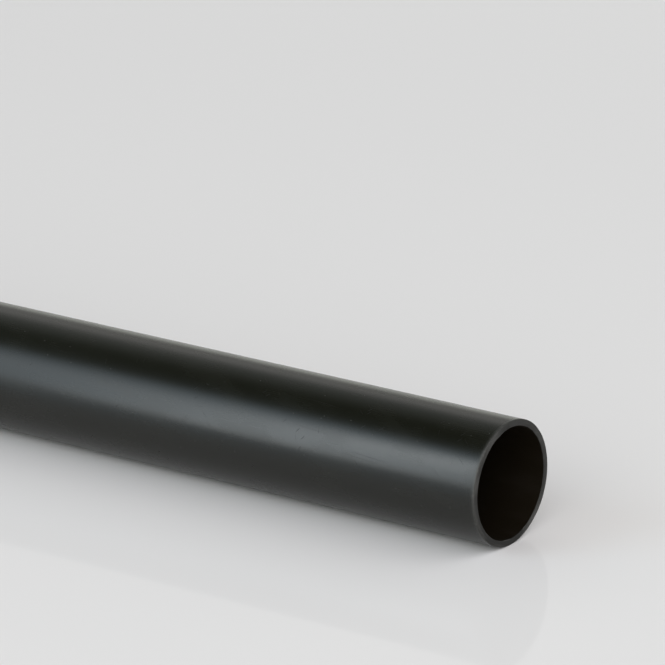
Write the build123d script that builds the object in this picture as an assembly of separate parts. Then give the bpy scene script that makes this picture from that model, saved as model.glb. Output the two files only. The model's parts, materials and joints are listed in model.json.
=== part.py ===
from build123d import *
import os

# A straight length of plastic waste pipe, lying on its side. It runs along X and touches z = 0 along
# its lowest line. The end at +X is the cut end that faces the viewer. All sizes are in millimetres.

# Driving dimensions
outside_diameter = 36.2  # over the outer skin, the size that the sockets of 32 mm fittings take
wall_thickness = 1.9
pipe_length = 3000.0  # one stock length, square cut at both ends
outer_edge_bevel = 0.3  # the outer edge of each cut end, eased so that it enters a socket
inner_edge_bevel = 0.2  # the burr scraped off the edge of the bore

# Worked out from them
outside_radius = outside_diameter / 2
half_length = pipe_length / 2
long_axis = Axis((0, 0, outside_radius), (1, 0, 0))


def wall_section():
    """The wall cut open along the line that the pipe lies on, in the upright plane through its axis.

    It is a thin strip as long as the pipe. Its lower side is the outer skin, its upper side is the
    bore, and each of its four corners is bevelled.
    """
    corners = [
        (-half_length + outer_edge_bevel, 0),
        (half_length - outer_edge_bevel, 0),
        (half_length, outer_edge_bevel),
        (half_length, wall_thickness - inner_edge_bevel),
        (half_length - inner_edge_bevel, wall_thickness),
        (-half_length + inner_edge_bevel, wall_thickness),
        (-half_length, wall_thickness - inner_edge_bevel),
        (-half_length, outer_edge_bevel),
    ]
    return make_face(Plane.XZ * Polyline(*corners, close=True))


def waste_pipe():
    """The wall section turned once round the pipe's long axis, which leaves the bore open."""
    return revolve(wall_section(), axis=long_axis, revolution_arc=360)


os.makedirs("parts", exist_ok=True)
pieces = {"waste_pipe": waste_pipe()}
for name, piece in pieces.items():
    export_step(piece, f"parts/{name}.step")
    print(name, "volume", round(piece.volume), "mm3, box", piece.bounding_box())
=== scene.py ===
# %% [markdown]
# # A length of black plastic waste pipe
# The object is one piece of stock: a thin-walled tube, extruded from black plastic and cut square.
# It lies on a pale surface, and we look at its near end from the right, a little from above. There
# is not much shape to hide behind, so the lesson is about three finishes on one body: the satin
# skin, the matt cut face and the dark bore.

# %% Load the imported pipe
import json

import bpy
import numpy as np
from mathutils import Matrix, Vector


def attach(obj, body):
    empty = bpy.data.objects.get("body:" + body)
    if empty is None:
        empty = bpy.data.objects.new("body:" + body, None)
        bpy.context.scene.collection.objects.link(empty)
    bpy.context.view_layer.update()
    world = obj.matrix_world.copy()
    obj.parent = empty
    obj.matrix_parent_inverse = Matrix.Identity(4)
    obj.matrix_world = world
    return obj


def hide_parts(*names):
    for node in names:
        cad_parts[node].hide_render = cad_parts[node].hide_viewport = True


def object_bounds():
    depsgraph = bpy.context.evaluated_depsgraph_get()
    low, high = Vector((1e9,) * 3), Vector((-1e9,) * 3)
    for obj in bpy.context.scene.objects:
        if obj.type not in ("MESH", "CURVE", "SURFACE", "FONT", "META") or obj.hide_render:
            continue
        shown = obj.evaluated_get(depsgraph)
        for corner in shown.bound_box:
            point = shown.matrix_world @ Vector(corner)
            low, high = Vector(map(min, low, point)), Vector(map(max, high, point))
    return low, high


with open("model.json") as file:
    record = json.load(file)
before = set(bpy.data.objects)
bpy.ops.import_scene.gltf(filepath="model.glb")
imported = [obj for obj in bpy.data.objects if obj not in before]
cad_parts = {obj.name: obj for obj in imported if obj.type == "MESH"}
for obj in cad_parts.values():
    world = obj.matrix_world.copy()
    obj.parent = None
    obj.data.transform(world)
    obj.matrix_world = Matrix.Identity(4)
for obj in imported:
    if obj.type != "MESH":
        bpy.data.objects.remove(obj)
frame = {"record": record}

cad_low, cad_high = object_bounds()
print("the box to stay inside, in metres:", list(cad_low), list(cad_high))

# %% [markdown]
# ## Sizes
# Every size of the pipe is already in the frame. Its mounts give the radius of the skin and of the
# bore, and how much of each wall is left between the eased edges, so the scene and the solid can
# never disagree.

# %% Read the pipe's sizes
MM = 0.001
mounts = {mount["name"]: mount for mount in frame["record"]["mounts"]}
spigot, bore = mounts["spigot_near_end"]["dims"], mounts["bore"]["dims"]
half_length = (cad_high.x - cad_low.x) / 2
skin_radius = spigot["r_mm"] * MM
bore_radius = bore["r_mm"] * MM
outer_ease = half_length - spigot["length_mm"] * MM / 2
inner_ease = half_length - bore["length_mm"] * MM / 2
axis_height = skin_radius
print(f"skin {skin_radius / MM:.2f} mm, bore {bore_radius / MM:.2f} mm, eased {outer_ease / MM:.2f} and "
      f"{inner_ease / MM:.2f} mm, half as long as {half_length:.3f} m")

# %% [markdown]
# ## The camera
# The photograph was taken from far away with a long lens, so the pipe hardly tapers. A camera is
# easiest to place from what it sees: we fix its direction first, then slide it until the centre of
# the near end falls on the pixel where the photograph has it. Working from the end of the pipe
# keeps the numbers few and each one meaningful.

# %% Place the camera
IMAGE_SIZE = 665
SENSOR_WIDTH = 36.0
FOCAL_PIXELS = 5700.0
END_PIXEL = np.array([511.07, 483.37])
END_DEPTH = 1.570
NEAREST_SEEN, FARTHEST_SEEN = 0.05, 200.0
CAMERA_AZIMUTH, CAMERA_ELEVATION, CAMERA_ROLL = np.radians([36.44, 18.91, -1.12])

flat = np.cos(CAMERA_ELEVATION)
forward = np.array([
    -np.sin(CAMERA_AZIMUTH) * flat,
    np.cos(CAMERA_AZIMUTH) * flat,
    -np.sin(CAMERA_ELEVATION),
])
level_right = np.array([np.cos(CAMERA_AZIMUTH), np.sin(CAMERA_AZIMUTH), 0.0])
level_up = np.cross(level_right, forward)
right = level_right * np.cos(CAMERA_ROLL) + level_up * np.sin(CAMERA_ROLL)
up = level_up * np.cos(CAMERA_ROLL) - level_right * np.sin(CAMERA_ROLL)
across, down = (END_PIXEL - IMAGE_SIZE / 2) / FOCAL_PIXELS
end_centre = np.array([half_length, 0.0, axis_height])
eye = end_centre - END_DEPTH * (forward + across * right - down * up)

camera_data = bpy.data.cameras.new("camera")
camera_data.sensor_width = SENSOR_WIDTH
camera_data.lens = FOCAL_PIXELS / IMAGE_SIZE * SENSOR_WIDTH
camera_data.clip_start, camera_data.clip_end = NEAREST_SEEN, FARTHEST_SEEN
camera = bpy.data.objects.new("camera", camera_data)
bpy.context.scene.collection.objects.link(camera)
camera.matrix_world = Matrix([
    [right[i], up[i], -forward[i], eye[i]] for i in range(3)
] + [[0, 0, 0, 1]])
bpy.context.scene.camera = camera
bpy.context.scene.view_settings.view_transform = "Standard"
print("the camera stands at", eye.round(3), "with a lens of", round(camera_data.lens), "mm")

# %% [markdown]
# ## Short words for nodes
# A material made of nodes is a wiring job. A few helpers keep the wiring readable. The first adds a
# node and fills its sockets, where a value that is itself a socket gets a wire, and the others do
# the same for small sums.

# %% Helpers for nodes
def add(tree, kind, settings=None, **sockets):
    """Adds a node of that kind, where settings are its own properties.

    Each socket is given by its name or, as in i0, by its number, and gets a number, a colour or a wire.
    """
    made = tree.nodes.new(kind)
    for name, value in (settings or {}).items():
        setattr(made, name, value)
    for name, value in sockets.items():
        socket = made.inputs[int(name[1:]) if name[1:].isdigit() else name]
        if isinstance(value, bpy.types.NodeSocket):
            tree.links.new(value, socket)
        else:
            socket.default_value = value
    return made


def calculate(tree, operation, first, second=0.0):
    """One sum of two values, such as MULTIPLY or ADD, and the socket that holds its result."""
    return add(tree, "ShaderNodeMath", {"operation": operation}, i0=first, i1=second).outputs[0]


def weighed(tree, start, *parts):
    """The start plus each part's value times its weight, held between 0 and 1."""
    total = start
    for value, weight in parts:
        settings = {"operation": "MULTIPLY_ADD", "use_clamp": True}
        total = add(tree, "ShaderNodeMath", settings, i0=value, i1=weight, i2=total).outputs[0]
    return total


def between(tree, value, low, high, to_low=0.0, to_high=1.0, smooth=True):
    """The value carried from the range low to high onto to_low to to_high, and held at both ends."""
    settings = {"interpolation_type": "SMOOTHSTEP" if smooth else "LINEAR"}
    ranged = add(tree, "ShaderNodeMapRange", settings, i0=value, i1=low, i2=high, i3=to_low, i4=to_high)
    return ranged.outputs[0]

# %% [markdown]
# ## The light
# A black satin tube is a mirror with a soft focus: what we see on it is mostly the room. Reading
# the stripes from top to bottom gives a pale wall behind, a dark ceiling, a tall soft window to the
# front left, and the pale floor. A wide window to the right lights the cut end, and two front
# lights fill in. Low lights at the foot, in front and behind, reach in under the pipe and soften
# the line on which it lies, and a faint glow high up behind keeps the top from going black. All of
# this could be lamps, but a lamp near one end would leave the rest of a 3 m pipe in the dark. We
# paint the room into the world instead, so that every metre of pipe and floor gets the same light.
# Walls and ceiling are one colour ramp over the height of the direction, and each light is a soft
# rectangle added to it.

# %% Build the room's light
WALL_AT_HEIGHT = {
    0.23: (0.14, 0.135, 0.13),
    0.48: (0.93, 0.92, 0.89),
    0.70: (0.225, 0.26, 0.25),
    0.90: (0.045, 0.043, 0.022),
}
LIGHTS = {
    "window": dict(azimuth=38.5, elevation=24.5, half_width=12.0, half_height=21.5, softness=7.0,
                   strength=1.92, colour=(0.80, 1.01, 1.18)),
    "side_window": dict(azimuth=-80.0, elevation=48.0, half_width=42.0, half_height=26.0, softness=8.0,
                        strength=1.40, colour=(0.96, 0.96, 1.04)),
    "front_low": dict(azimuth=-12.0, elevation=20.0, half_width=34.0, half_height=14.0, softness=9.0,
                      strength=1.10, colour=(0.97, 1.03, 0.97)),
    "front_high": dict(azimuth=-5.0, elevation=38.0, half_width=30.0, half_height=12.0, softness=8.0,
                       strength=0.42, colour=(1.08, 0.96, 0.88)),
    "front_foot": dict(azimuth=-25.0, elevation=8.0, half_width=45.0, half_height=8.0, softness=5.0,
                       strength=2.20, colour=(1.00, 1.00, 1.00)),
    "foot_behind": dict(azimuth=180.0, elevation=8.0, half_width=60.0, half_height=8.0, softness=5.0,
                        strength=0.84, colour=(0.98, 1.01, 0.93)),
    "glow_behind": dict(azimuth=180.0, elevation=64.0, half_width=60.0, half_height=12.0, softness=9.0,
                        strength=0.14, colour=(1.00, 1.00, 0.90)),
}
SEEN_BACKGROUND = 0.72

world = bpy.data.worlds.new("room")
world.use_nodes = True
bpy.context.scene.world = world
room = world.node_tree
room.nodes.clear()
looking = add(room, "ShaderNodeTexCoord").outputs["Generated"]
height = add(room, "ShaderNodeSeparateXYZ", Vector=looking).outputs["Z"]


def soft_light(azimuth, elevation, half_width, half_height, softness, strength, colour):
    """A rectangle of light with soft edges, far away in a direction in degrees; azimuth 0 is the front.

    The way that we look is split into a part towards the light and parts across and up. Dividing by the
    first gives the place on a flat sheet one metre in front of us, and the light fades out past half_width
    and half_height there.
    """
    turn, rise = np.radians([azimuth, elevation])
    towards = np.array([-np.sin(turn) * np.cos(rise), -np.cos(turn) * np.cos(rise), np.sin(rise)])
    side = np.array([np.cos(turn), -np.sin(turn), 0.0])
    above = np.cross(towards, side)
    above *= np.sign(above[2])

    def along(direction):
        dot = add(room, "ShaderNodeVectorMath", {"operation": "DOT_PRODUCT"}, i0=looking, i1=direction)
        return dot.outputs["Value"]

    ahead = calculate(room, "MAXIMUM", along(towards), 0.01)
    brightness = strength
    for direction, half_angle in ((side, half_width), (above, half_height)):
        place = calculate(room, "ABSOLUTE", calculate(room, "DIVIDE", along(direction), ahead))
        inner, outer = np.tan(np.radians([max(half_angle - softness, 0.0), half_angle + softness]))
        brightness = calculate(room, "MULTIPLY", between(room, place, inner, outer, 1.0, 0.0), brightness)
    return add(room, "ShaderNodeBackground", Color=(*colour, 1.0), Strength=brightness).outputs[0]


wall = add(room, "ShaderNodeValToRGB", Fac=height)
wall.color_ramp.interpolation = "EASE"
stops = wall.color_ramp.elements
stops.remove(stops[1])
for number, (level, wall_colour) in enumerate(WALL_AT_HEIGHT.items()):
    stop = stops[0] if number == 0 else stops.new(level)
    stop.position, stop.color = level, (*wall_colour, 1.0)
lit = add(room, "ShaderNodeBackground", Color=wall.outputs["Color"], Strength=1.0).outputs[0]
for light in LIGHTS.values():
    lit = add(room, "ShaderNodeAddShader", i0=lit, i1=soft_light(**light)).outputs[0]
seen = add(room, "ShaderNodeBackground", Color=(1, 1, 1, 1), Strength=SEEN_BACKGROUND).outputs[0]
is_camera = add(room, "ShaderNodeLightPath").outputs["Is Camera Ray"]
chosen = add(room, "ShaderNodeMixShader", i0=is_camera, i1=lit, i2=seen)
add(room, "ShaderNodeOutputWorld", Surface=chosen.outputs[0])
print("the room has", len(LIGHTS), "soft lights and", len(room.nodes), "nodes")

# %% [markdown]
# ## The softbox
# One real lamp, a softbox, stands near the cut end. The photograph's highlight swells towards that
# end and fades along the pipe, and only a light at a real distance does that. To place it we follow
# a ray from the camera: it leaves the skin as from a mirror, and the lamp hangs on that ray. Light
# linking lets it reach the pipe alone, because its mirror image would be a hard bright bar on the
# glossy board when we look from another side.

# %% Hang the softbox
SOFTBOX_FROM_END = 0.02
SOFTBOX_DISTANCE = 0.8
SOFTBOX_ROUND = np.radians(67.0)
SOFTBOX_WIDTH, SOFTBOX_HEIGHT = 0.10, 0.64
SOFTBOX_POWER = 1.40
SOFTBOX_COLOUR = (0.95, 0.985, 0.98)

side_on = np.hypot(forward[1], forward[2])
mirrored = np.array([forward[0], -side_on * np.sin(SOFTBOX_ROUND), side_on * np.cos(SOFTBOX_ROUND)])
softbox_place = end_centre - [SOFTBOX_FROM_END, 0, 0] + SOFTBOX_DISTANCE * mirrored
softbox_across = np.cross([0, 0, 1], mirrored)
softbox_across /= np.linalg.norm(softbox_across)
softbox_up = np.cross(mirrored, softbox_across)

softbox_data = bpy.data.lights.new("softbox", "AREA")
softbox_data.shape = "RECTANGLE"
softbox_data.size, softbox_data.size_y = SOFTBOX_WIDTH, SOFTBOX_HEIGHT
softbox_data.energy = SOFTBOX_POWER
softbox_data.color = SOFTBOX_COLOUR
softbox = bpy.data.objects.new("softbox", softbox_data)
softbox.matrix_world = Matrix([
    [softbox_across[i], softbox_up[i], mirrored[i], softbox_place[i]] for i in range(3)
] + [[0, 0, 0, 1]])
softbox.visible_camera = False
bpy.context.scene.collection.objects.link(softbox)
lit_by_softbox = bpy.data.collections.new("lit by the softbox")
softbox.light_linking.receiver_collection = lit_by_softbox
print("the softbox hangs at", softbox_place.round(2))

# %% [markdown]
# ## The floor
# The pipe lies on a smooth pale board. It is large, because other views stand far back to take in
# the whole length. A low index of refraction gives the faint mirror image that the photograph shows
# under the pipe and no more.

# %% Lay the floor
FLOOR_HALF_SIZE = 60.0
FLOOR_COLOUR = (0.861, 0.840, 0.828, 1.0)
FLOOR_IOR = 1.185
FLOOR_ROUGHNESS = 0.04

corners = np.array([(-1, -1, 0), (1, -1, 0), (1, 1, 0), (-1, 1, 0)]) * FLOOR_HALF_SIZE
floor_mesh = bpy.data.meshes.new("floor")
floor_mesh.from_pydata(corners.tolist(), [], [(0, 1, 2, 3)])
floor = bpy.data.objects.new("floor", floor_mesh)
bpy.context.scene.collection.objects.link(floor)

pale_board = bpy.data.materials.new("pale_board")
pale_board.use_nodes = True
floor_shader = pale_board.node_tree.nodes["Principled BSDF"]
floor_shader.inputs["Base Color"].default_value = FLOOR_COLOUR
floor_shader.inputs["IOR"].default_value = FLOOR_IOR
floor_shader.inputs["Roughness"].default_value = FLOOR_ROUGHNESS
floor_mesh.materials.append(pale_board)
print("the floor is", 2 * FLOOR_HALF_SIZE, "m square")

# %% [markdown]
# ## The body of the pipe
# The wall of a tube has a closed outline: along the skin, over the eased outer edge, across the cut
# face, over the inner edge and back through the bore. Carrying that outline once round the axis
# closes the body without any seam or pole. A cylinder with a hole would be quicker, but then the
# edges would have no shape of their own. The surface is worked out as whole arrays: a column of
# places along the outline, and a row of angles round the pipe.

# %% Places along the pipe and angles round it
AROUND = 480
LONG_STEP = 60 * MM
END_STEP = 0.6 * MM
STEP_GROWTH = 1.6

angle = np.linspace(0, 2 * np.pi, AROUND, endpoint=False)


def rows_between(far_tip, near_tip):
    """Rows of places along the pipe at every angle, LONG_STEP apart in the middle and closer at the tips.

    The distances of the end rows from their tip are END_STEP times a growing power of STEP_GROWTH. A tip
    may lie at another place at each angle, and its rows then follow it.
    """
    inner_end = half_length - LONG_STEP
    middle = np.linspace(-inner_end, inner_end, int(round(2 * inner_end / LONG_STEP)) + 1)
    count = int(np.log(LONG_STEP / END_STEP) / np.log(STEP_GROWTH))
    close = np.concatenate([[0.0], END_STEP * STEP_GROWTH ** np.arange(count)])[:, None]
    level = np.repeat(middle[:, None], AROUND, axis=1)
    return np.concatenate([far_tip + close, level, near_tip - close[::-1]])


def wander(seed, fewest, most, fall=0.5):
    """A closed random line round the pipe, from -1 to 1, made of the whole waves from fewest to most.

    Each wave is a cosine with a random height and start, and its height is divided by its number to the
    power fall.
    """
    draw = np.random.default_rng(seed)
    wave = np.arange(fewest, most + 1)[:, None]
    height = draw.normal(size=wave.shape) / wave ** fall
    start = draw.uniform(0, 2 * np.pi, wave.shape)
    line = (height * np.cos(wave * angle + start)).sum(axis=0)
    return line / np.abs(line).max()


def patch(centre, half_width):
    """A smooth hump round the pipe, placed in degrees: the bell curve of the angle from its centre."""
    away = np.angle(np.exp(1j * (angle - np.radians(centre))))
    return np.exp(-(away / np.radians(half_width)) ** 2)


print("angles round the pipe:", AROUND)

# %% [markdown]
# ## The cut ends
# A saw leaves more than a flat ring. The blade makes shallow arcs on the face, the eased edges are
# never equally wide all round, and where the blade comes through it rolls a thin burr into the bore
# and bruises the plastic grey. At one place a file has taken more off the outer edge. The face is also
# painted lighter on its upper side and darker low down, as painted light and painted shade. All of the
# face lies behind the plane of the end, because the saw only takes away. We work it out as
# distances from that plane, so that one function makes both ends, and a seed and the places of the
# burrs, the bruises, the painted light and shade and the filed stretch make them differ.

# %% Shape one cut end
EDGE_STEPS = 6
FACE_STEPS = 15
OUTER_EDGE, OUTER_WANDER = 0.72, 0.18
INNER_EDGE, INNER_WANDER = 0.75, 0.20
FILED_DEEPER, CRISP_LESS = 1.3, 0.4
FEED_HEIGHT = 0.015 * MM
FEED_SPACING = 0.62 * MM
FEED_WANDER = 3.0
OUT_OF_FLAT = 0.06 * MM
BURR_HEIGHT = 0.30 * MM
BURR_RAGGED = 0.4
STRAY_BURR, STRAY_FROM = 0.35, 0.5
RUBBED, RUBBED_WANDER = 0.35, 0.6
EDGE_WORN, EDGE_SCUFFED, EDGE_NICKED, EDGE_UNEVEN = 0.12, 0.62, 0.6, 0.2
FACE_WORN, FACE_BRUISED_LIT_AND_SHADED, FACE_RUBBED, FACE_INWARD = 0.25, 0.6, 0.15, -0.25
BORE_EDGE_WORN, TORN_WORN = 0.4, 1.5

quarter = np.radians(np.linspace(0, 90, EDGE_STEPS + 1))[:, None]
face_share = np.linspace(0, 1, FACE_STEPS + 1)[1:-1, None]
print("the edges are about", round(OUTER_EDGE * outer_ease / MM, 2), "and",
      round(INNER_EDGE * inner_ease / MM, 2), "mm wide")


def torn_edge(seed, burrs):
    """How far the inner edge is torn, from 0 to 1: humps of the angle where the burrs are, and stray bits.

    A quick wandering line roughens the humps, and another leaves stray bits where it is over STRAY_FROM.
    """
    ragged = 1 - BURR_RAGGED + BURR_RAGGED * wander(seed, 20, 110, 0.2)
    humps = sum(patch(centre, half_width) for centre, half_width in burrs) * ragged
    stray = np.clip(wander(seed + 1, 6, 90, 0.3) - STRAY_FROM, 0, None)
    return np.clip(humps + STRAY_BURR * stray, 0, 1)


def end_wear_light_and_shade(seed, bruises_light_and_shade, scuffed, torn):
    """How pale each row of an end is, from 0 to 1: the outer edge, then the face, then the inner edge.

    Bruises and the painted light and shade are humps of the angle with a weight. Above zero the face is
    paler, as a bruise or as painted light on its upper side, and below zero it is darker as painted shade
    low down.
    The outer edge wears pale where it is scuffed and where a quick wandering line nicks it.
    """
    # Bruises add paleness; the same humps paint light on the upper face and, below zero, paint shade low on
    # it.
    bruised_lit_and_shaded = sum(weight * patch(centre, half_width) for centre, half_width, weight in bruises_light_and_shade)
    rubbed_lit_and_shaded = np.clip(RUBBED + RUBBED_WANDER * wander(seed, 4, 70) + bruised_lit_and_shaded, 0, 1)
    nicked = np.clip(wander(seed + 1, 12, 110, 0.2), 0, 1)
    uneven = 1 - EDGE_UNEVEN + EDGE_UNEVEN * wander(seed + 2, 3, 50)
    edge = (EDGE_WORN + EDGE_SCUFFED * patch(*scuffed)) * uneven + EDGE_NICKED * nicked ** 2
    face = FACE_WORN + FACE_BRUISED_LIT_AND_SHADED * bruised_lit_and_shaded + FACE_RUBBED * rubbed_lit_and_shaded + FACE_INWARD * face_share
    inner = BORE_EDGE_WORN * np.clip(rubbed_lit_and_shaded + TORN_WORN * torn, 0, 1)
    every_step = np.ones_like(quarter)
    return np.concatenate([np.clip(edge, 0, 1) * every_step, face, inner * every_step])


def cut_end(seed, bruises_light_and_shade, burrs, filed, crisp, scuffed):
    """How far each point lies behind the end's plane, its radius and its wear, from the skin to the bore.

    An edge is a quarter circle whose size follows a wandering line. The outer one is larger where it is
    filed and smaller where it is crisp. The face between them dips by a slow wandering line and by the
    blade's arcs, a cosine of the radius whose start turns slowly with the angle. A burr is a narrow hump of
    the inner edge towards the bore. The paleness that comes back also holds painted light and painted
    shade.
    """
    wandering = OUTER_EDGE + OUTER_WANDER * wander(seed, 2, 36)
    outer = outer_ease * (wandering + FILED_DEEPER * patch(*filed) - CRISP_LESS * patch(*crisp))
    inner = inner_ease * (INNER_EDGE + INNER_WANDER * wander(seed + 1, 3, 60))
    over_back = outer * (1 - np.cos(quarter[::-1]))
    over_radius = skin_radius - outer * (1 - np.sin(quarter[::-1]))
    torn = torn_edge(seed + 2, burrs)
    into_back = inner * (1 - np.cos(quarter))
    into_radius = bore_radius + inner * (1 - np.sin(quarter))
    into_radius = into_radius - BURR_HEIGHT * torn * np.sin(2 * quarter) ** 2
    face_radius = over_radius[-1] + (into_radius[0] - over_radius[-1]) * face_share
    radius = np.concatenate([over_radius, face_radius, into_radius])
    turn = FEED_WANDER * wander(seed + 4, 1, 3)
    arcs = 0.5 + 0.5 * np.cos(2 * np.pi * radius / FEED_SPACING + turn)
    back = np.concatenate([over_back, np.zeros_like(face_radius), into_back])
    back = back + FEED_HEIGHT * arcs + OUT_OF_FLAT * (0.5 + 0.5 * wander(seed + 5, 1, 5))
    return back, radius, end_wear_light_and_shade(seed + 6, bruises_light_and_shade, scuffed, torn)

# %% Make both ends
# Places and half widths are in degrees from the top, and the third number is a weight: above zero for a
# bruise or for painted light, below zero for painted shade.
# Near end: 30 and 76 paint light on the face's upper side, 141 and 180 paint shade low on the face, and 219
# and 295 are bruises.
near_bruises_light_and_shade = [(30, 14, 0.6), (76, 8, 0.45), (180, 16, -0.5), (219, 14, 1.0), (295, 28, 0.2)]
near_bruises_light_and_shade += [(141, 14, -0.25)]
near_burrs = [(172, 7), (203, 3), (232, 9), (18, 4)]
near_back, near_radius, near_wear_light_and_shade = cut_end(
    11, near_bruises_light_and_shade, near_burrs, filed=(211, 22), crisp=(318, 34), scuffed=(62, 52))
# Far end: 40 paints light on the upper side, 130 paints shade low down, and 250 is a bruise.
far_bruises_light_and_shade = [(250, 24, 0.7), (40, 12, 0.4), (130, 20, -0.3)]
far_burrs = [(80, 8), (97, 3)]
far_back, far_radius, far_wear_light_and_shade = cut_end(
    23, far_bruises_light_and_shade, far_burrs, filed=(120, 20), crisp=(20, 30), scuffed=(280, 50))
print("each end has", len(near_back), "rows, and lies up to", round(near_back.max() / MM, 3), "mm back")

# %% [markdown]
# ## The whole wall
# The rows of the skin, the near end, the bore and the far end now join into one closed outline. An
# extruded pipe is never perfectly round either: this one is a few hundredths of a millimetre
# narrower across than it is high, so that it stays inside the solid that it dresses. Each row of
# faces also gets its finish here. The eased outer edge keeps the skin's gloss, because it shows as
# a fine dark line on one side of the end and as a fine light line on the other.

# %% Carry the outline round the axis
SKIN, CUT, BORE = 0, 1, 2
WEAR_REACH = 0.35 * MM
TIP_GAP = 0.03 * MM

near_x = half_length - near_back
far_x = far_back[::-1] - half_length
skin_x = rows_between(far_x[-1] + TIP_GAP, near_x[0] - TIP_GAP)
bore_x = rows_between(far_x[0] + TIP_GAP, near_x[-1] - TIP_GAP)[::-1]
row_x = np.concatenate([skin_x, near_x, bore_x, far_x])
row_radius = np.concatenate([np.full(skin_x.shape, skin_radius), near_radius,
                             np.full(bore_x.shape, bore_radius), far_radius[::-1]])
skin_wear = np.exp((skin_x - near_x[0]) / WEAR_REACH) * near_wear_light_and_shade[0]
skin_wear = skin_wear + np.exp((far_x[-1] - skin_x) / WEAR_REACH) * far_wear_light_and_shade[0]
row_wear_light_and_shade = np.concatenate([skin_wear, near_wear_light_and_shade, np.zeros((len(bore_x), AROUND)), far_wear_light_and_shade[::-1]])
cut_rows = len(near_back) - 1 - EDGE_STEPS
part_rows = [len(skin_x) + EDGE_STEPS, cut_rows, len(bore_x) + 1, cut_rows, EDGE_STEPS + 1]
row_part = np.repeat([SKIN, CUT, BORE, CUT, SKIN], part_rows)
narrowing = 1 - cad_high.y / skin_radius


def carried_round(x, radius):
    """Points of the surface: at angle a they lie at (x, -radius sin a, axis + radius cos a).

    Across the pipe they lie a hair closer together, by the share that narrowing gives.
    """
    across = -radius * np.sin(angle) * (1 - narrowing)
    return np.stack([x, across, axis_height + radius * np.cos(angle)], axis=-1)


def closed_quads(rows):
    """Quads between each row and the next and each angle and the next; the last of both joins the first."""
    row, column = np.meshgrid(np.arange(rows), np.arange(AROUND), indexing="ij")
    next_row, next_column = (row + 1) % rows, (column + 1) % AROUND
    quads = [row * AROUND + column, row * AROUND + next_column]
    quads += [next_row * AROUND + next_column, next_row * AROUND + column]
    return np.stack(quads, axis=-1).reshape(-1, 4)


body_points = carried_round(row_x, row_radius)
body_quads = closed_quads(len(row_x))
print("the body has", len(row_x), "rows and", 2 * len(body_quads), "triangles")

# %% [markdown]
# ## A flat map of the pipe
# When the finish is baked into pictures, a 3 m strip is a poor shape for a square picture. We cut
# the skin and the bore into ten lengths each and stack them, and lay the two cut ends beside them
# as rings, three times as large, because the fine marks are there. On such a ring the distance from
# the centre falls by the length of the wall's outline.

# %% Lay the surface out flat
MAP_PIECE = 300 * MM
MAP_GAP = 2 * MM
MAP_COLUMNS = 3
MAP_ROWS = 4
RING_ENLARGED = 3.0
BAKE_MAP = "OFBake"  # the name that the export looks for

pieces = int(round(2 * half_length / MAP_PIECE))
skin_girth = 2 * np.pi * skin_radius
map_side = MAP_COLUMNS * (MAP_PIECE + MAP_GAP) + MAP_GAP


def on_corners(rows):
    """Values on rows of points, given to the corners of the quads in the order of closed_quads."""
    beside = np.roll(rows, -1, axis=1)
    return np.stack([rows[:-1], beside[:-1], beside[1:], rows[1:]], axis=-1)


def corner_angles(bands):
    """The angle at each corner of the quads, where the last column ends at a full turn and not at 0."""
    step = 2 * np.pi / AROUND
    corner = angle[None, :, None] + np.array([0.0, step, step, 0.0])
    return np.broadcast_to(corner, (bands, AROUND, 4))


def slot_corner(slot, girth, base):
    """The lower left corner of a slot: MAP_COLUMNS side by side, each row a girth and a gap higher."""
    left = MAP_GAP + slot % MAP_COLUMNS * (MAP_PIECE + MAP_GAP)
    return left, base + MAP_GAP + slot // MAP_COLUMNS * (girth + MAP_GAP)


def strips_laid_out(x, radius, base):
    """A straight stretch cut into pieces: across is the place in its piece, up is angle times radius."""
    corner_x = on_corners(x) + half_length
    piece = np.clip(corner_x.mean(axis=(1, 2)) // MAP_PIECE, 0, pieces - 1)[:, None, None]
    left, bottom = slot_corner(piece, 2 * np.pi * radius, base)
    across, up = corner_x - piece * MAP_PIECE, corner_angles(len(x) - 1) * radius
    return np.stack([left + across, bottom + up], axis=-1)


def ring_laid_out(x, radius, slot):
    """An end as a ring: its reach from the centre is the skin's radius less the way along the outline."""
    way = np.cumsum(np.hypot(np.diff(x, axis=0), np.diff(radius, axis=0)), axis=0)
    way = np.concatenate([np.zeros((1, AROUND)), way])
    if radius[0, 0] < radius[-1, 0]:
        way = way[-1] - way
    reach = RING_ENLARGED * (skin_radius - on_corners(way))
    turn = corner_angles(len(x) - 1)
    left, bottom = slot_corner(slot, skin_girth, 0.0)
    middle_x, middle_y = left + MAP_PIECE / 2, bottom + skin_girth / 2
    return np.stack([middle_x + reach * np.cos(turn), middle_y + reach * np.sin(turn)], axis=-1)


near_rows = slice(len(skin_x) - 1, len(skin_x) + len(near_x) + 1)
far_rows = np.arange(len(row_x) - len(far_x) - 1, len(row_x) + 1) % len(row_x)
bore_base = MAP_ROWS * (skin_girth + MAP_GAP)
body_map = np.concatenate([
    strips_laid_out(skin_x, skin_radius, 0.0),
    ring_laid_out(row_x[near_rows], row_radius[near_rows], pieces),
    strips_laid_out(bore_x, bore_radius, bore_base),
    ring_laid_out(row_x[far_rows], row_radius[far_rows], pieces + 1),
]) / map_side
map_low, map_high = body_map.min(axis=(0, 1, 2)), body_map.max(axis=(0, 1, 2))
print("the map spans", map_low.round(3), "to", map_high.round(3))

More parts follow.
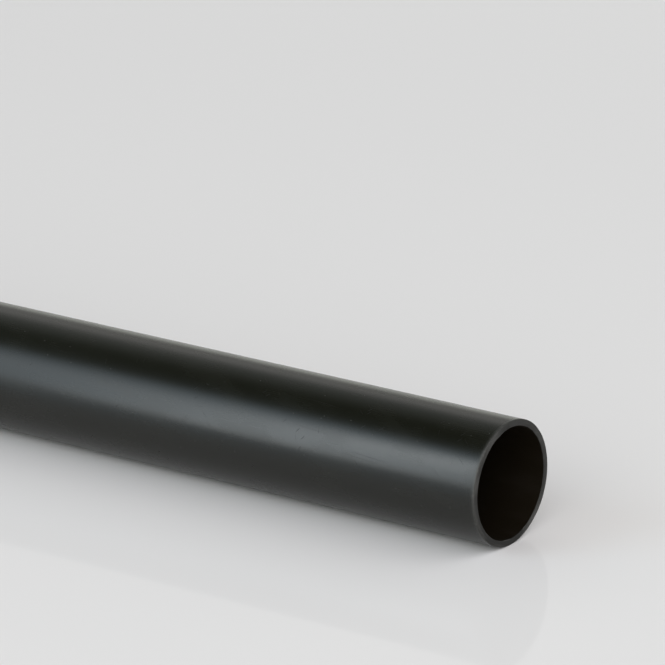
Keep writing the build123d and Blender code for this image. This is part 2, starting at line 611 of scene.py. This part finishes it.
# %% Make the mesh
def new_piece(name, points, quads, part, wear_light_and_shade, flat_map):
    """Puts points and quads into a smooth mesh, with a slot for each part, the wear and the flat map."""
    mesh = bpy.data.meshes.new(name)
    mesh.vertices.add(points.size // 3)
    mesh.vertices.foreach_set("co", points.astype(np.float32).ravel())
    mesh.loops.add(quads.size)
    mesh.loops.foreach_set("vertex_index", quads.astype(np.int32).ravel())
    mesh.polygons.add(len(quads))
    mesh.polygons.foreach_set("loop_start", np.arange(0, quads.size, 4, dtype=np.int32))
    mesh.polygons.foreach_set("material_index", part.astype(np.int32))
    mesh.polygons.foreach_set("use_smooth", np.ones(len(quads), bool))
    worn_lit_and_shaded = mesh.attributes.new("wear_light_and_shade", "FLOAT", "POINT")
    worn_lit_and_shaded.data.foreach_set("value", wear_light_and_shade.astype(np.float32).ravel())
    mesh.uv_layers.new(name=BAKE_MAP).uv.foreach_set("vector", flat_map.astype(np.float32).ravel())
    mesh.update(calc_edges=True)
    mesh.validate()
    piece = bpy.data.objects.new(name, mesh)
    bpy.context.scene.collection.objects.link(piece)
    return piece


quad_part = np.repeat(row_part, AROUND)
pipe = new_piece("pipe_wall", body_points, body_quads, quad_part, row_wear_light_and_shade, body_map)
lit_by_softbox.objects.link(pipe)
facing = np.empty(len(pipe.data.polygons) * 3, np.float32)
pipe.data.polygons.foreach_get("normal", facing)
print("the first quad of the skin, on top of the pipe, faces", facing[:3].round(3))

# %% [markdown]
# ## A pattern's place
# Marks on a pipe follow its length and its girth, so the patterns need a flat sheet to be drawn on.
# We unroll the skin: one coordinate runs along the pipe, the other is the angle times the radius,
# both in millimetres. The shader works it out from the object's own coordinates, so nothing slides
# when the camera or the pipe moves, and the sheet's one seam lies under the pipe.

# %% Unroll the surface
def round_the_axis(tree):
    """The place along the pipe and the distance from its axis, in mm, and the angle from its top."""
    place = add(tree, "ShaderNodeTexCoord").outputs["Object"]
    parts = add(tree, "ShaderNodeSeparateXYZ", Vector=place)
    high = calculate(tree, "SUBTRACT", parts.outputs["Z"], axis_height)
    turned = calculate(tree, "ARCTAN2", parts.outputs["Y"], high)
    square = calculate(tree, "ADD", calculate(tree, "POWER", high, 2.0),
                       calculate(tree, "POWER", parts.outputs["Y"], 2.0))
    along = calculate(tree, "MULTIPLY", parts.outputs["X"], 1 / MM)
    return along, calculate(tree, "MULTIPLY", calculate(tree, "SQRT", square), 1 / MM), turned


def unrolled(tree, radius):
    """The place on the unrolled surface in millimetres, as a vector: (along the pipe, round it, 0)."""
    along, _, turned = round_the_axis(tree)
    around = calculate(tree, "MULTIPLY", turned, radius / MM)
    return add(tree, "ShaderNodeCombineXYZ", X=along, Y=around).outputs[0]


def fitted(tree, place, turn=0.0, stretch=(1.0, 1.0, 1.0)):
    """The place turned in its sheet by degrees, then scaled: under 1 draws a pattern out that way."""
    turned = add(tree, "ShaderNodeMapping", Vector=place, Rotation=(0, 0, np.radians(turn))).outputs[0]
    return add(tree, "ShaderNodeMapping", Vector=turned, Scale=stretch).outputs[0]

# %% Patterns
STROKE_CORE, STROKE_EDGE = 0.2, 0.5


def cloud(tree, place, size, detail=2.0, roughness=0.5):
    """Soft noise from 0 to 1 whose blotches are about as large as size, in millimetres."""
    fineness = {"Scale": 1 / size, "Detail": detail, "Roughness": roughness}
    return add(tree, "ShaderNodeTexNoise", Vector=place, **fineness).outputs[0]


def strokes(tree, place, turn, spacing, length, width, share):
    """Short separate marks, 1 on a mark and 0 beside it: one random point in each cell, drawn out.

    The sheet is shrunk along the stroke, so a round dot there is a long thin one on the pipe. Cells whose
    random colour is over share stay empty, and spacing is the distance from one cell to the next across the
    strokes.
    """
    drawn = fitted(tree, place, turn, (width / length, 1, 1))
    cells = add(tree, "ShaderNodeTexVoronoi", {"voronoi_dimensions": "2D"}, Vector=drawn, Scale=1 / spacing)
    core, edge = STROKE_CORE * width / spacing, STROKE_EDGE * width / spacing
    dot = between(tree, cells.outputs["Distance"], core, edge, 1.0, 0.0)
    pick = add(tree, "ShaderNodeSeparateColor", Color=cells.outputs["Color"]).outputs[0]
    return calculate(tree, "MULTIPLY", dot, calculate(tree, "LESS_THAN", pick, share))


def relief(tree, height, depth, beneath=None):
    """A bump of that depth in metres from a height of 0 to 1, over the bump beneath it, if there is one."""
    bump = add(tree, "ShaderNodeBump", Strength=1.0, Distance=depth, Height=height)
    if beneath is not None:
        tree.links.new(beneath, bump.inputs["Normal"])
    return bump.outputs[0]


def blend_colour(tree, share, first, second):
    """The first colour where share is 0, the second where it is 1."""
    return add(tree, "ShaderNodeMix", {"data_type": "RGBA"}, i0=share, i6=first, i7=second).outputs[2]

# %% A shader for each finish
PLASTIC_IOR = 1.43


def plastic(name):
    """A new material, its tree and its Principled shader, with the index of refraction of the plastic."""
    made = bpy.data.materials.new(name)
    made.use_nodes = True
    shader = made.node_tree.nodes["Principled BSDF"]
    shader.inputs["IOR"].default_value = PLASTIC_IOR
    return made, made.node_tree, shader


print("patterns are drawn in millimetres on the unrolled pipe, and its plastic bends light by", PLASTIC_IOR)

# %% [markdown]
# ## The satin skin
# The die leaves the skin satin: dark and even, with hair lines along the pipe and a very fine
# grain. Black plastic has almost no colour of its own, so nearly everything is in the roughness and
# the relief. On top comes what happens to a pipe on its way to a shelf: a faint haze from hands, a
# few fine scratches and some dust.

# %% Mix the skin
SKIN_BLACK = (0.0024, 0.0025, 0.0006, 1.0)
SKIN_HAZY = (0.0038, 0.0039, 0.0018, 1.0)
SKIN_SCRATCHED = (0.0010, 0.0010, 0.0010, 1.0)
SKIN_SCUFFED = (0.062, 0.061, 0.056, 1.0)
DUST = (0.070, 0.068, 0.064, 1.0)
SKIN_ROUGHNESS = 0.235
HAIR_WIDTH, HAIR_DEPTH = 0.35, 1.3e-6
GRAIN_SIZE, GRAIN_DEPTH = 0.12, 1.0e-6
RIPPLE_SIZE, RIPPLE_DEPTH = 6.0, 1.5e-6
SMEAR_SIZE, SMEAR_TURN = 9.0, 12.0
HAZE_FROM, HAZE_TO = 0.42, 0.72
MARK_DEPTH = 3.0e-6
# Each kind of mark: turn in degrees, spacing, length and width in mm, and the share of cells with one.
SPECK = (15, 3.6, 0.30, 0.24, 0.16)
SCRATCHES = (
    (-50, 2.6, 1.9, 0.24, 0.28),
    (38, 1.0, 3.2, 0.10, 0.16),
    (-24, 1.2, 5.0, 0.08, 0.12),
    (76, 1.0, 2.2, 0.09, 0.12),
    (4, 0.9, 16, 0.07, 0.2),
)

satin_skin, tree, shader = plastic("satin_skin")
sheet = unrolled(tree, skin_radius)
hair = cloud(tree, fitted(tree, sheet, stretch=(0.002, 1, 1)), HAIR_WIDTH, 3.0, 0.6)
grain = cloud(tree, sheet, GRAIN_SIZE, 2.0, 0.6)
ripple = cloud(tree, fitted(tree, sheet, stretch=(0.25, 1, 1)), RIPPLE_SIZE, 1.0)
smears = cloud(tree, fitted(tree, sheet, SMEAR_TURN, (0.4, 1, 1)), SMEAR_SIZE, 3.0, 0.6)
haze = between(tree, smears, HAZE_FROM, HAZE_TO)
scratched = 0.0
for family in SCRATCHES:
    scratched = calculate(tree, "MAXIMUM", strokes(tree, sheet, *family), scratched)
speck = strokes(tree, sheet, *SPECK)
worn_lit_and_shaded = add(tree, "ShaderNodeAttribute", {"attribute_name": "wear_light_and_shade"}).outputs["Fac"]

colour = blend_colour(tree, haze, SKIN_BLACK, SKIN_HAZY)
colour = blend_colour(tree, scratched, colour, SKIN_SCRATCHED)
colour = blend_colour(tree, speck, colour, DUST)
colour = blend_colour(tree, worn_lit_and_shaded, colour, SKIN_SCUFFED)
tree.links.new(colour, shader.inputs["Base Color"])
rough = weighed(tree, SKIN_ROUGHNESS, (hair, 0.03), (haze, 0.03), (grain, 0.02))
rough = weighed(tree, rough, (scratched, 0.22), (speck, 0.3), (worn_lit_and_shaded, 0.3))
tree.links.new(rough, shader.inputs["Roughness"])
surface = relief(tree, hair, HAIR_DEPTH)
surface = relief(tree, grain, GRAIN_DEPTH, surface)
surface = relief(tree, ripple, RIPPLE_DEPTH, surface)
surface = relief(tree, calculate(tree, "SUBTRACT", speck, scratched), MARK_DEPTH, surface)
tree.links.new(surface, shader.inputs["Normal"])
print("the skin has", len(tree.nodes), "nodes")

# %% [markdown]
# ## The cut face
# Where the saw went through, the plastic is matt and a little greyer than the skin. The blade's
# arcs run round the ring, so this pattern lives on the angle and the radius instead of the unrolled
# skin. The wear attribute, worked out with the shape, whitens the edges and the bruise, and also
# carries painted light, lighter on the face's upper side, and painted shade, darker low down.

# %% Mix the cut face
CUT_GREY = (0.0035, 0.0035, 0.0022, 1.0)
CUT_PALE = (0.0560, 0.0545, 0.0500, 1.0)
CUT_ROUGHNESS = 0.50
ARC_WIDTH, ARC_DEPTH = 0.36, 14.0e-6
TORN_SIZE, TORN_DEPTH = 0.18, 9.0e-6
PATCH_SIZE = 4.5
PALE_FROM, PALE_RANGE = 0.44, 0.6

cut_plastic, tree, shader = plastic("cut_plastic")
along, reach, turned = round_the_axis(tree)
around = calculate(tree, "MULTIPLY", turned, skin_radius / MM)
face = add(tree, "ShaderNodeCombineXYZ", X=around, Y=reach, Z=along).outputs[0]
arcs = cloud(tree, fitted(tree, face, stretch=(0.03, 1, 1)), ARC_WIDTH, 3.0, 0.65)
torn = cloud(tree, fitted(tree, face, stretch=(0.4, 1, 1)), TORN_SIZE, 3.0, 0.7)
patches = cloud(tree, fitted(tree, face, stretch=(1, 1.5, 1)), PATCH_SIZE, 2.0)
worn_lit_and_shaded = add(tree, "ShaderNodeAttribute", {"attribute_name": "wear_light_and_shade"}).outputs["Fac"]
# The attribute's paleness is partly real wear and partly painted light and painted shade on the face.
pale = weighed(tree, 0.0, (worn_lit_and_shaded, 0.75), (arcs, 0.55), (patches, 0.30))
pale = calculate(tree, "SUBTRACT", pale, PALE_FROM)
pale = between(tree, pale, 0.0, PALE_RANGE, smooth=False)
tree.links.new(blend_colour(tree, pale, CUT_GREY, CUT_PALE), shader.inputs["Base Color"])
rough = weighed(tree, CUT_ROUGHNESS, (torn, 0.16), (worn_lit_and_shaded, 0.10))
tree.links.new(rough, shader.inputs["Roughness"])
surface = relief(tree, arcs, ARC_DEPTH)
surface = relief(tree, torn, TORN_DEPTH, surface)
tree.links.new(surface, shader.inputs["Normal"])
print("the cut face has", len(tree.nodes), "nodes")

# %% [markdown]
# ## The bore
# No die polishes the inside. It is a dull brownish black with shallow draw lines along the pipe,
# and a little dust has settled in it. It could share the skin's material, but then it would mirror
# the floor at its mouth as the skin does. With less than half the specular level and more roughness
# it stays a dark hole, as in life.

# %% Mix the bore
BORE_BLACK = (0.0072, 0.0050, 0.0024, 1.0)
BORE_DUSTY = (0.0088, 0.0063, 0.0036, 1.0)
BORE_ROUGHNESS = 0.42
BORE_SPECULAR = 0.20
DRAW_WIDTH, DRAW_DEPTH = 0.6, 8.0e-6
FINE_SIZE, FINE_DEPTH = 0.25, 3.0e-6
SETTLED_SIZE, SETTLED_FROM, SETTLED_TO = 5.0, 0.45, 0.75

dark_bore, tree, shader = plastic("dark_bore")
shader.inputs["Specular IOR Level"].default_value = BORE_SPECULAR
sheet = unrolled(tree, bore_radius)
draw_lines = cloud(tree, fitted(tree, sheet, stretch=(0.004, 1, 1)), DRAW_WIDTH, 3.0, 0.6)
fine = cloud(tree, sheet, FINE_SIZE, 2.0, 0.6)
settled = cloud(tree, fitted(tree, sheet, stretch=(0.3, 1, 1)), SETTLED_SIZE, 3.0)
settled = between(tree, settled, SETTLED_FROM, SETTLED_TO)
tree.links.new(blend_colour(tree, settled, BORE_BLACK, BORE_DUSTY), shader.inputs["Base Color"])
rough = weighed(tree, BORE_ROUGHNESS, (draw_lines, 0.10), (settled, 0.08))
tree.links.new(rough, shader.inputs["Roughness"])
surface = relief(tree, draw_lines, DRAW_DEPTH)
surface = relief(tree, fine, FINE_DEPTH, surface)
tree.links.new(surface, shader.inputs["Normal"])
print("the bore has", len(tree.nodes), "nodes")

# %% Put the finishes on
for material in (satin_skin, cut_plastic, dark_bore):
    pipe.data.materials.append(material)
print("the pipe wears", [slot.name for slot in pipe.data.materials])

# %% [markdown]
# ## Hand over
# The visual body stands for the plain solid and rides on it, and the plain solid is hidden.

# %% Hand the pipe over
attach(pipe, "root")
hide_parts("waste_pipe")
